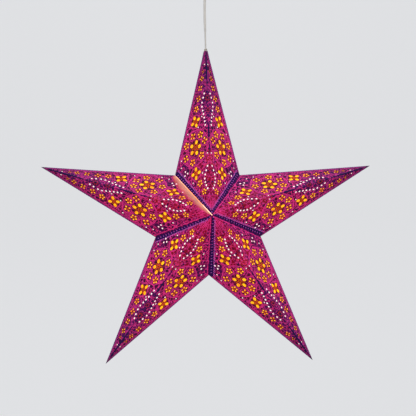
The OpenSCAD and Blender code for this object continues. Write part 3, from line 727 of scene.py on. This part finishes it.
def triangulated(outline, shapes, ground):
    """Flat points and triangles inside an outline, each with the paint of the topmost shape over it."""
    points, loops, paints = [], [], []
    for loop, paint in [(outline, ground)] + shapes:
        loop = counter_clockwise(loop)
        loops.append(list(range(len(points), len(points) + len(loop))))
        points += [Vector(p) for p in loop]
        paints.append(paint)
    flat, _, triangles, _, _, origins = delaunay_2d_cdt(points, [], loops, INSIDE, MERGE)
    kept, kept_paints = [], []
    for triangle, origin in zip(triangles, origins):
        if 0 in origin and paints[max(origin)] is not None:
            kept.append(triangle)
            kept_paints.append(paints[max(origin)])
    return np.array([tuple(p) for p in flat]), kept, kept_paints


def open_edges(triangles):
    """Edges with a triangle on one side only, in that triangle's direction."""
    edges = {(t[i], t[(i + 1) % 3]) for t in triangles for i in range(3)}
    return [e for e in edges if (e[1], e[0]) not in edges]


def chained(edges):
    """Loops of corner numbers from open edges."""
    after = {}
    for a, b in sorted(edges):
        after.setdefault(a, []).append(b)
    loops = []
    while after:
        start = min(after)
        loop = [start]
        while True:
            following = after[loop[-1]]
            step = following.pop(0)
            if not following:
                del after[loop[-1]]
            if step == start:
                break
            loop.append(step)
        loops.append(loop)
    return loops


def plain_triangles(flat, loops):
    """Triangles between the largest loop and the holes in it, on the loops' own points."""
    loops = sorted(loops, key=lambda loop: -abs(loop_area(flat[loop])))
    points, faces, numbers = [], [], []
    for loop in loops:
        if loop_area(flat[loop]) < 0:
            loop = loop[::-1]
        faces.append(list(range(len(points), len(points) + len(loop))))
        points += [Vector(p) for p in flat[loop]]
        numbers += loop
    _, _, triangles, origins, _, within = delaunay_2d_cdt(points, [], faces, INSIDE, MERGE / 10)
    back = [numbers[o[0]] for o in origins]
    return [[back[i] for i in t] for t, f in zip(triangles, within) if list(f) == [0]]


class FlatSheet:
    """A triangulated drawing: a painted outer skin and a plain inner one with the same edges."""

    def __init__(self, outline, shapes, ground):
        flat, triangles, self.paints = triangulated(outline, shapes, ground)
        used = sorted({i for t in triangles for i in t})
        number = {old: new for new, old in enumerate(used)}
        self.flat = flat[used]
        self.outer = [[number[i] for i in t] for t in triangles]
        self.rim = open_edges(self.outer)
        self.inner = plain_triangles(self.flat, chained(self.rim))


class MeshParts:
    """Points, faces and paints gathered for one piece."""

    def __init__(self):
        self.points, self.faces, self.paints = [], [], []
        self.count = 0

    def add(self, points, faces, paints, flipped=False):
        for face, paint in zip(faces, paints):
            face = [i + self.count for i in face]
            self.faces.append(face[::-1] if flipped else face)
            self.paints.append(paint)
        self.points.append(np.asarray(points, float))
        self.count += len(points)

    def object(self, name, materials):
        mesh = bpy.data.meshes.new(name)
        points = np.concatenate(self.points) * MM
        mesh.from_pydata(points.tolist(), [], self.faces)
        slots = sorted(set(self.paints))
        for slot in slots:
            mesh.materials.append(materials[slot])
        index = {slot: i for i, slot in enumerate(slots)}
        mesh.polygons.foreach_set("material_index", [index[p] for p in self.paints])
        mesh.update()
        made = bpy.data.objects.new(name, mesh)
        bpy.context.scene.collection.objects.link(made)
        return made


def add_sheet(parts, wall, sheet, depth, thickness, inside, edge):
    """Puts a flat sheet on a wall, a depth under its outer face."""
    moves = mitres(wall, sheet.flat)
    surface = wall.place(sheet.flat)
    rim_points = sorted({i for e in sheet.rim for i in e})
    number = {old: len(sheet.flat) + new for new, old in enumerate(rim_points)}
    lower = surface[rim_points] - (depth + thickness) * moves[rim_points]
    points = np.concatenate([surface - depth * moves, lower])
    inner = [[number[i] for i in t][::-1] for t in sheet.inner]
    rim = [(b, a, number[a], number[b]) for a, b in sheet.rim]
    faces = [*sheet.outer, *inner, *rim]
    paints = [*sheet.paints, *[inside] * len(inner), *[edge] * len(rim)]
    parts.add(points, faces, paints, wall.flipped)


# Looks


def linear(r, g, b):
    """Linear colour from display values of 0 to 255."""
    shares = (c / 255 for c in (r, g, b))
    return tuple(s / 12.92 if s <= 0.04045 else ((s + 0.055) / 1.055) ** 2.4 for s in shares)


def dimmed(colour, share):
    return tuple(min(1, c * share) for c in colour)


class Look:
    """A material under construction: its nodes, links and shader."""

    def __init__(self, name):
        self.material = bpy.data.materials.new(name)
        self.material.use_nodes = True
        self.tree = self.material.node_tree
        self.shader = self.tree.nodes["Principled BSDF"]
        self.place = self.node("ShaderNodeTexCoord").outputs["Object"]

    def node(self, kind, **settings):
        made = self.tree.nodes.new(kind)
        for key, value in settings.items():
            setattr(made, key, value)
        return made

    def link(self, source, target):
        self.tree.links.new(source, target)

    def feed(self, name, source):
        """Links a value into an input of the shader."""
        self.link(source, self.shader.inputs[name])

    def noise(self, scale, detail=2.0, stretch=None):
        made = self.node("ShaderNodeTexNoise")
        made.inputs["Scale"].default_value = scale
        made.inputs["Detail"].default_value = detail
        source = self.place
        if stretch:
            mapping = self.node("ShaderNodeMapping")
            mapping.inputs["Scale"].default_value = stretch
            self.link(source, mapping.inputs["Vector"])
            source = mapping.outputs["Vector"]
        self.link(source, made.inputs["Vector"])
        return made.outputs["Fac"]

    def ranged(self, value, low, high, new_low, new_high):
        made = self.node("ShaderNodeMapRange", interpolation_type="SMOOTHSTEP")
        ends = {"From Min": low, "From Max": high, "To Min": new_low, "To Max": new_high}
        for name, number in ends.items():
            made.inputs[name].default_value = number
        self.link(value, made.inputs["Value"])
        return made.outputs["Result"]

    def math(self, operation, a, b):
        made = self.node("ShaderNodeMath", operation=operation)
        for i, value in enumerate((a, b)):
            if isinstance(value, (int, float)):
                made.inputs[i].default_value = value
            else:
                self.link(value, made.inputs[i])
        return made.outputs[0]

    def mixed(self, share, a, b):
        made = self.node("ShaderNodeMix", data_type="RGBA")
        self.link(share, made.inputs["Factor"])
        for socket, value in ((made.inputs["A"], a), (made.inputs["B"], b)):
            if isinstance(value, tuple):
                socket.default_value = (*value, 1.0)
            else:
                self.link(value, socket)
        return made.outputs["Result"]

    def bump(self, height, distance, strength):
        made = self.node("ShaderNodeBump")
        made.inputs["Distance"].default_value = distance
        made.inputs["Strength"].default_value = strength
        self.link(height, made.inputs["Height"])
        self.feed("Normal", made.outputs["Normal"])

    def from_bulb(self):
        made = self.node("ShaderNodeVectorMath", operation="DISTANCE")
        self.link(self.place, made.inputs[0])
        made.inputs[1].default_value = tuple(STAR_CENTRE * MM)
        return made.outputs["Value"]

    def set(self, **values):
        for name, value in values.items():
            self.shader.inputs[name.replace("_", " ")].default_value = value


# Ink as it looks by outside light, its light from the bulb behind, and the share of the fine net
# that is printed over it
PAINTS = {
    "plum": ((40, 6, 56), (58, 0, 26), 0.74),
    "violet": ((58, 18, 88), (72, 2, 46), 0.68),
    "crimson": ((66, 4, 34), (126, 0, 22), 0.55),
    "wine": ((36, 2, 40), (70, 0, 20), 0.62),
    "rose": ((180, 56, 148), (210, 34, 88), 0.0),
    "lilac": ((150, 100, 196), (140, 60, 130), 0.0),
    "night": ((34, 10, 76), (22, 0, 36), 0.0),
    "aubergine": ((48, 12, 78), (64, 0, 36), 0.3),
    "ember": ((130, 46, 24), (196, 66, 8), 0.0),
    "russet": ((84, 22, 30), (158, 24, 8), 0.45),
    "flame": ((206, 92, 20), (232, 116, 6), 0.0),
    "maroon": ((24, 2, 18), (24, 0, 4), 0.0),
    # Painted light, not ink: the steps of the bulb's light that spills through the open seam onto the
    # card beside it
    "coral": ((104, 36, 56), (176, 52, 62), 0.45),
    "salmon": ((134, 66, 74), (190, 92, 82), 0.3),
    "peach": ((146, 86, 84), (196, 116, 98), 0.2),
    "cream": ((156, 102, 96), (202, 134, 114), 0.0),
}

# The glow falls between two distances from the bulb, in metres, to its share at the tips
NEAR_GLOW, FAR_GLOW = 0.15, 0.33
TIP_GLOW = 0.34

NET_SIZE = 8.0


def glow_share(look, mottle):
    falloff = look.ranged(look.from_bulb(), NEAR_GLOW, FAR_GLOW, 1.0, TIP_GLOW)
    return look.math("MULTIPLY", falloff, mottle)


def printed_net(look):
    """Fine net lines: 1 on a line and 0 in a mesh."""
    cells = look.node("ShaderNodeTexVoronoi", feature="DISTANCE_TO_EDGE")
    cells.inputs["Scale"].default_value = 1 / (NET_SIZE * MM)
    look.link(look.place, cells.inputs["Vector"])
    return look.ranged(cells.outputs["Distance"], 0.03, 0.11, 1.0, 0.0)


def printed_card(name, ink, glow, net):
    """Ink on rough card: fibres, uneven ink, a fine net and the bulb's light through the sheet."""
    look = Look(f"card_{name}")
    ink, glow = linear(*ink), linear(*glow)
    fibres = look.noise(900, 3, (1, 1, 0.25))
    cloud = look.noise(70, 2)
    worn = look.mixed(fibres, dimmed(ink, 0.75), dimmed(ink, 1.25))
    coarse = look.ranged(cloud, 0.3, 0.7, 0.48, 0.84)
    mottle = look.math("ADD", coarse, look.ranged(fibres, 0.3, 0.7, 0.0, 0.35))
    if net:
        lines = look.math("MULTIPLY", printed_net(look), net)
        rose_ink, rose_glow = (linear(*colour) for colour in PAINTS["rose"][:2])
        worn = look.mixed(lines, worn, rose_ink)
        look.feed("Emission Color", look.mixed(lines, glow, rose_glow))
    else:
        look.set(Emission_Color=(*glow, 1))
    look.feed("Base Color", worn)
    look.feed("Emission Strength", glow_share(look, mottle))
    look.feed("Roughness", look.ranged(fibres, 0.2, 0.8, 0.6, 0.8))
    look.bump(fibres, 0.00012, 0.5)
    look.set(Specular_IOR_Level=0.12)
    return look.material


def plain_card(name, colour, strength):
    """Bare card, on the inside and at cut edges, lit by the bulb."""
    look = Look(name)
    colour = linear(*colour)
    fibres = look.noise(700, 3)
    mixed = look.mixed(fibres, dimmed(colour, 0.85), colour)
    look.feed("Base Color", mixed)
    look.feed("Emission Color", mixed)
    falloff = look.ranged(look.from_bulb(), 0.05, FAR_GLOW, strength, strength * 0.3)
    look.feed("Emission Strength", falloff)
    look.bump(fibres, 0.0001, 0.5)
    look.set(Roughness=0.8)
    return look.material


def lit_tissue(name, colour, deep, strength):
    """Thin coloured tissue with the bulb's light behind it."""
    look = Look(f"tissue_{name}")
    colour, deep = linear(*colour), linear(*deep)
    fibres = look.noise(420, 3)
    cloud = look.noise(160, 1)
    share = look.ranged(look.math("ADD", fibres, cloud), 0.7, 1.15, 0.0, 1.0)
    mixed = look.mixed(share, deep, colour)
    look.feed("Base Color", mixed)
    look.feed("Emission Color", mixed)
    falloff = look.ranged(look.from_bulb(), NEAR_GLOW, FAR_GLOW, strength, strength * 0.75)
    look.feed("Emission Strength", falloff)
    look.bump(fibres, 0.0002, 0.4)
    look.set(Roughness=0.7, Specular_IOR_Level=0.25)
    return look.material


def card_materials():
    made = {name: printed_card(name, *values) for name, values in PAINTS.items()}
    made["card_inside"] = plain_card("card_inside", (236, 214, 190), 0.9)
    made["cut_edge"] = plain_card("cut_edge", (150, 70, 80), 0.35)
    return made


def tissue_materials():
    return {
        "sun": lit_tissue("sun", (255, 190, 22), (246, 134, 12), 0.95),
        "amber": lit_tissue("amber", (254, 186, 44), (240, 124, 16), 1.05),
        "pearl": lit_tissue("pearl", (255, 232, 234), (248, 200, 212), 0.92),
        "tissue_back": lit_tissue("back", (248, 198, 150), (240, 164, 112), 0.7),
    }


# The arms and their linings


def walls_of(arm):
    return [Wall(arm, hand, side) for hand in (NEXT, LAST) for side in (FRONT, BACK)]


def tissue_fields(wall):
    """Yellow behind the large petals, white behind the dots and amber everywhere else."""
    shapes = [(disc(BIG_FLOWER, BIG_FLOWER_R * 1.6, 30), "sun")]
    shapes += [(disc(centre, r + 1.0, 28), "sun") for centre, r, _ in FOUR_PETALS]
    shapes += [(disc(at, DOT * 0.8, 12), "pearl") for at in TIP_DOTS + CENTRE_DOTS]
    shapes.append((disc(CLUSTER, CLUSTER_R + DOT, 20), "pearl"))
    shapes += [(disc(at, SMALL_DOT, 10), "pearl") for at in LONE_DOTS + CORNER_DOTS]
    return stretched(shapes, wall)


def make_arm(arm, sheets, materials):
    """One folded card. Walls of a kind share their flat sheet."""
    parts = MeshParts()
    for wall in walls_of(arm):
        kind = ("card", arm == 0, on_seam(wall), over_flap(wall), threaded(wall))
        if kind not in sheets:
            sheets[kind] = FlatSheet(wall_loop(wall), pattern(wall), "plum")
        add_sheet(parts, wall, sheets[kind], 0.0, CARD_T, "card_inside", "cut_edge")
    piece = parts.object(f"card_{ARMS[arm]}", materials)
    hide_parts(f"arm_{ARMS[arm]}")
    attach(piece, "root")


def make_tissue(arm, sheets, materials):
    """The lining glued inside a card."""
    parts = MeshParts()
    depth = CARD_T + GLUE_T
    for wall in walls_of(arm):
        kind = ("tissue", arm == 0, on_seam(wall), over_flap(wall), tab_side(wall))
        if kind not in sheets:
            sheets[kind] = FlatSheet(tissue_loop(wall), tissue_fields(wall), "amber")
        add_sheet(parts, wall, sheets[kind], depth, TISSUE_T, "tissue_back", "tissue_back")
    piece = parts.object(f"lining_{ARMS[arm]}", materials)
    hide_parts(f"tissue_{ARMS[arm]}")
    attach(piece, "root")


# The flex: a flat twin cable down the middle of the star

FLEX_ROUTE = [
    (0, 0, -16), (0, 0, -44), (-0.6, 0, -70), (-0.8, 0, -100), (-0.3, 0, -130), (0, 0, -156),
    (0, 0, -180), (0.8, 0.3, -230), (1, 0.5, -280), (0.4, 0.2, -330), (0, 0, -364), (0, 0, -384),
    (0, 0, -405),
]
# Height and turn of the flat flex about its own line
FLEX_TURN = [(-400, 0), (-370, 0), (-260, 90), (-130, 90), (-106, 0), (-16, 0)]
FLEX_RING_GAP = 4.0
CORE_POINTS = 11
GROOVE = 0.94


def smooth_route(route, gap):
    """A curve through the points of a route, with rings a gap apart."""
    route = [np.array(p, float) for p in route]
    path = []
    for i in range(len(route) - 1):
        a, b, c, d = route[max(0, i - 1)], route[i], route[i + 1], route[min(len(route) - 1, i + 2)]
        count = max(1, round(np.linalg.norm(c - b) / gap))
        for j in range(count + (i == len(route) - 2)):
            t = j / count
            curve = 2 * b + (c - a) * t + (2 * a - 5 * b + 4 * c - d) * t**2
            path.append(0.5 * (curve + (3 * b - a - 3 * c + d) * t**3))
    return path


def twin_section():
    """The outline of two round cores side by side, with a groove between them."""
    r = FLEX_T / 2
    shift = FLEX_W / 2 - r
    waist = math.degrees(math.acos(-shift / r)) * GROOVE
    right = arc((shift, 0), r, -waist, 2 * waist, CORE_POINTS)
    left = arc((-shift, 0), r, 180 - waist, 2 * waist, CORE_POINTS)
    return right + left


def make_flex(material):
    path = smooth_route(FLEX_ROUTE, FLEX_RING_GAP)
    section = twin_section()
    heights, turns = zip(*FLEX_TURN)
    parts = MeshParts()
    points = []
    for p in path:
        a = math.radians(np.interp(p[2], heights, turns))
        c, s = math.cos(a), math.sin(a)
        points += [p + np.array([x * c - y * s, x * s + y * c, 0]) for x, y in section]
    n = len(section)
    faces = [
        (r * n + i, (r + 1) * n + i, (r + 1) * n + (i + 1) % n, r * n + (i + 1) % n)
        for r in range(len(path) - 1)
        for i in range(n)
    ]
    faces += [tuple(range(n)), tuple(range(len(points) - 1, len(points) - 1 - n, -1))]
    parts.add(points, faces, ["sheath"] * len(faces))
    piece = parts.object("twin_flex", {"sheath": material})
    for polygon in piece.data.polygons:
        polygon.use_smooth = len(polygon.vertices) == 4
    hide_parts("flex")
    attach(piece, "root")


# Materials of the hard pieces


def moulded(name, colour, roughness, glow=0.0):
    look = Look(name)
    colour = linear(*colour)
    fine = look.noise(600, 2)
    cloud = look.noise(40, 2)
    look.feed("Base Color", look.mixed(cloud, dimmed(colour, 0.9), colour))
    look.feed("Roughness", look.ranged(fine, 0.3, 0.7, roughness - 0.06, roughness + 0.08))
    look.bump(fine, 0.00005, 0.35)
    if glow:
        look.set(Emission_Color=(*colour, 1), Emission_Strength=glow)
    return look.material


def metal(name, colour, roughness):
    look = Look(name)
    colour = linear(*colour)
    brushed = look.noise(300, 3, (1, 1, 12))
    look.feed("Base Color", look.mixed(brushed, dimmed(colour, 0.8), colour))
    look.feed("Roughness", look.ranged(brushed, 0.3, 0.7, roughness - 0.08, roughness + 0.12))
    look.bump(brushed, 0.00003, 0.3)
    look.set(Metallic=1.0)
    return look.material


def thread_look():
    look = Look("cotton")
    twist = look.node("ShaderNodeTexWave", bands_direction="DIAGONAL")
    twist.inputs["Scale"].default_value = 900
    twist.inputs["Distortion"].default_value = 2.0
    look.link(look.place, twist.inputs["Vector"])
    strands = twist.outputs["Fac"]
    look.feed("Base Color", look.mixed(strands, linear(196, 186, 168), linear(236, 230, 216)))
    look.bump(strands, 0.00015, 0.8)
    look.set(Roughness=0.9)
    return look.material


def dress_solids():
    """The hard pieces keep their solids and get their finish here."""
    holder = moulded("holder_plastic", (226, 224, 216), 0.42)
    cup = moulded("cup_plastic", (232, 231, 226), 0.34)
    insert = moulded("insert_plastic", (222, 212, 188), 0.55)
    opal = moulded("opal_glass", (255, 244, 224), 0.25, glow=1.0)
    brass = metal("brass", (214, 176, 98), 0.3)
    steel = metal("zinc_steel", (190, 192, 196), 0.35)
    cotton = thread_look()
    looks = {
        "bulb": opal,
        "holder_body": holder, "holder_cap": holder, "flex_clamp_screw": holder,
        "holder_insert": insert, "terminal_block": insert,
        "screw_shell": brass, "centre_contact": brass, "contact_screws": brass,
        "ceiling_cup": cup, "flex_grip": cup, "grip_nut": cup, "grip_screw": cup,
        "ceiling_bracket": steel, "cup_screws": steel, "block_screws": steel,
        "closing_ties": cotton, "tip_tie": cotton,
    }
    for node, material in looks.items():
        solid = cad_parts[node]
        solid.data.materials.clear()
        solid.data.materials.append(material)


# Studio

# The floor in metres: its front edge, the start of its bend, the bend, and the wall's height
FLOOR_Z = -1.4
FLOOR_FRONT, FLOOR_BACK = -6.0, 1.6
FLOOR_BEND = 1.2
FLOOR_WALL = 6.0
FLOOR_HALF_W = 8
BEND_STEPS = 12
FLOOR_SHOWN = 0.75
PALE = (0.80, 0.81, 0.83)
SKY = (0.9, 0.93, 1.0)
SKY_STRENGTH = 0.32
# Name, place, size and power of each lamp
LAMPS = [
    ("key", (-0.8, -3.0, 0.7), 2.4, 40),
    ("fill", (2.0, -2.4, 0.2), 2.0, 17),
    ("top", (0.2, 1.2, 2.6), 2.4, 18),
]


def seen_directly(tree):
    """A factor of 1 where the camera sees a surface itself, or by way of metal or glass."""
    path = tree.nodes.new("ShaderNodeLightPath")
    total = path.outputs["Is Camera Ray"]
    for name in ("Is Glossy Ray", "Is Transmission Ray"):
        highest = tree.nodes.new("ShaderNodeMath")
        highest.operation = "MAXIMUM"
        tree.links.new(total, highest.inputs[0])
        tree.links.new(path.outputs[name], highest.inputs[1])
        total = highest.outputs[0]
    return total


def stage_plane():
    """A floor that curves up into a wall behind."""
    profile = [(FLOOR_FRONT, 0.0), (FLOOR_BACK, 0.0)]
    for i in range(1, BEND_STEPS + 1):
        a = math.radians(90 * i / BEND_STEPS)
        profile.append((FLOOR_BACK + FLOOR_BEND * math.sin(a), FLOOR_BEND * (1 - math.cos(a))))
    profile.append((FLOOR_BACK + FLOOR_BEND, FLOOR_WALL))
    points, faces = [], []
    for y, z in profile:
        points += [(-FLOOR_HALF_W, y, FLOOR_Z + z), (FLOOR_HALF_W, y, FLOOR_Z + z)]
    for i in range(len(profile) - 1):
        faces.append((2 * i, 2 * i + 1, 2 * i + 3, 2 * i + 2))
    mesh = bpy.data.meshes.new("floor")
    mesh.from_pydata(points, [], faces)
    for polygon in mesh.polygons:
        polygon.use_smooth = True
    floor = bpy.data.objects.new("floor", mesh)
    bpy.context.scene.collection.objects.link(floor)
    look = Look("floor_paper")
    look.set(Roughness=0.9, Specular_IOR_Level=0.1)
    look.set(Base_Color=(0.3, 0.3, 0.3, 1), Emission_Color=(*PALE, 1))
    look.feed("Emission Strength", look.math("MULTIPLY", seen_directly(look.tree), FLOOR_SHOWN))
    mesh.materials.append(look.material)


def area_light(name, place, size, power):
    """A white lamp that points at the middle of the star."""
    data = bpy.data.lights.new(name, "AREA")
    data.size, data.energy = size, power
    lamp = bpy.data.objects.new(name, data)
    lamp.location = place
    toward = Vector(tuple(STAR_CENTRE * MM)) - Vector(place)
    lamp.rotation_euler = toward.to_track_quat("-Z", "Y").to_euler()
    bpy.context.scene.collection.objects.link(lamp)


def make_studio():
    stage_plane()
    world = bpy.data.worlds.new("studio")
    bpy.context.scene.world = world
    world.use_nodes = True
    tree = world.node_tree
    light = tree.nodes["Background"]
    light.inputs["Color"].default_value = (*SKY, 1)
    light.inputs["Strength"].default_value = SKY_STRENGTH
    shown = tree.nodes.new("ShaderNodeBackground")
    shown.inputs["Color"].default_value = (*PALE, 1)
    both = tree.nodes.new("ShaderNodeMixShader")
    tree.links.new(seen_directly(tree), both.inputs[0])
    tree.links.new(light.outputs[0], both.inputs[1])
    tree.links.new(shown.outputs[0], both.inputs[2])
    tree.links.new(both.outputs[0], tree.nodes["World Output"].inputs["Surface"])
    for lamp in LAMPS:
        area_light(*lamp)
    bpy.context.scene.view_settings.view_transform = "Standard"


make_camera()
make_studio()
make_flex(moulded("sheath", (232, 227, 219), 0.42))
cards = card_materials()
tissues = tissue_materials()
flat_sheets = {}
for number in range(len(ARMS)):
    make_arm(number, flat_sheets, cards)
    make_tissue(number, flat_sheets, tissues)
dress_solids()
